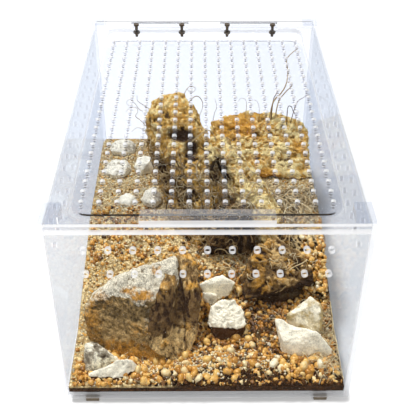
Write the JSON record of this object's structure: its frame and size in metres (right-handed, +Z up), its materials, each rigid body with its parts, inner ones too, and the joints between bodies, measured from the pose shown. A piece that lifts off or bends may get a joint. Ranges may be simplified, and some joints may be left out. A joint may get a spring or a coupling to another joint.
{
  "type": "acrylic reptile enclosure",
  "caption": "Clear acrylic reptile enclosure with a vented rear-hinged lid, lifting strip, corner blocks and foot pads, furnished with a sloping sand bed, stones and cork bark.",
  "frame": {"origin": "middle of the object's outline in plan, level with the underside of the foot pads", "axes": "+X to the right as the front panel is faced, +Y to the rear where the lid's hinges are, +Z up; the lifting strip and the front panel face -Y"},
  "size_m": [0.2, 0.3062, 0.1635],
  "materials": {
    "wall_acrylic": "clear, polished",
    "lid_acrylic": "clear with a faint blue cast, polished",
    "foot_pad": "matt",
    "hinge_plastic": "clear",
    "hinge_pin": "plain",
    "fixing": "darkened",
    "soil": "loose dark soil",
    "sand": "sand and amber gravel",
    "brown_stone": "weathered",
    "pale_stone": "split limestone",
    "driftwood": "weathered bark",
    "root": "matted roots",
    "cork": "rough bark"
  },
  "bodies": {
    "enclosure": {"base_panel": "wall_acrylic", "front_panel": "wall_acrylic", "rear_panel": "wall_acrylic", "left_wall": "wall_acrylic", "right_wall": "wall_acrylic", "top_frame": "wall_acrylic", "foot_front_left": "foot_pad", "foot_front_right": "foot_pad", "foot_rear_left": "foot_pad", "foot_rear_right": "foot_pad", "hinge_rear_leaf_left": "hinge_plastic", "hinge_rear_leaf_right": "hinge_plastic", "hinge_pin_left": "hinge_pin", "hinge_pin_right": "hinge_pin", "soil_layer": "soil", "sand_bank": "sand", "boulder": "brown_stone", "driftwood_slab": "driftwood", "stone_triangle": "pale_stone", "stone_long": "pale_stone", "stone_split_upper": "pale_stone", "stone_split_lower": "pale_stone", "stone_chalk": "pale_stone", "stone_saddle": "pale_stone", "stone_wedge": "pale_stone", "stone_rear_corner": "pale_stone", "stone_rear_wide": "pale_stone", "stone_rear_pale": "pale_stone", "stone_mid_flat": "pale_stone", "stone_mid_mound": "pale_stone", "cork_trunk": "cork", "cork_arch": "cork", "root_stump": "root", "cork_chunk": "cork", "cork_block": "cork", "root_mat": "root"},
    "lid": {"lid_plate": "lid_acrylic", "lid_locating_plate": "lid_acrylic", "lid_handle": "lid_acrylic", "block_front_left": "lid_acrylic", "block_front_right": "lid_acrylic", "block_rear_left": "lid_acrylic", "block_rear_right": "lid_acrylic", "hinge_lid_leaf_left": "hinge_plastic", "hinge_lid_leaf_right": "hinge_plastic", "hinge_screws": "fixing", "hinge_nuts": "fixing"}
  },
  "joints": [
    {"name": "lid_hinge", "type": "hinge", "parent": "enclosure", "child": "lid", "pos_m": [0, 0.1516, 0.1539], "axis": [-1, 0, 0], "range_deg": [0, 180]}
  ]
}
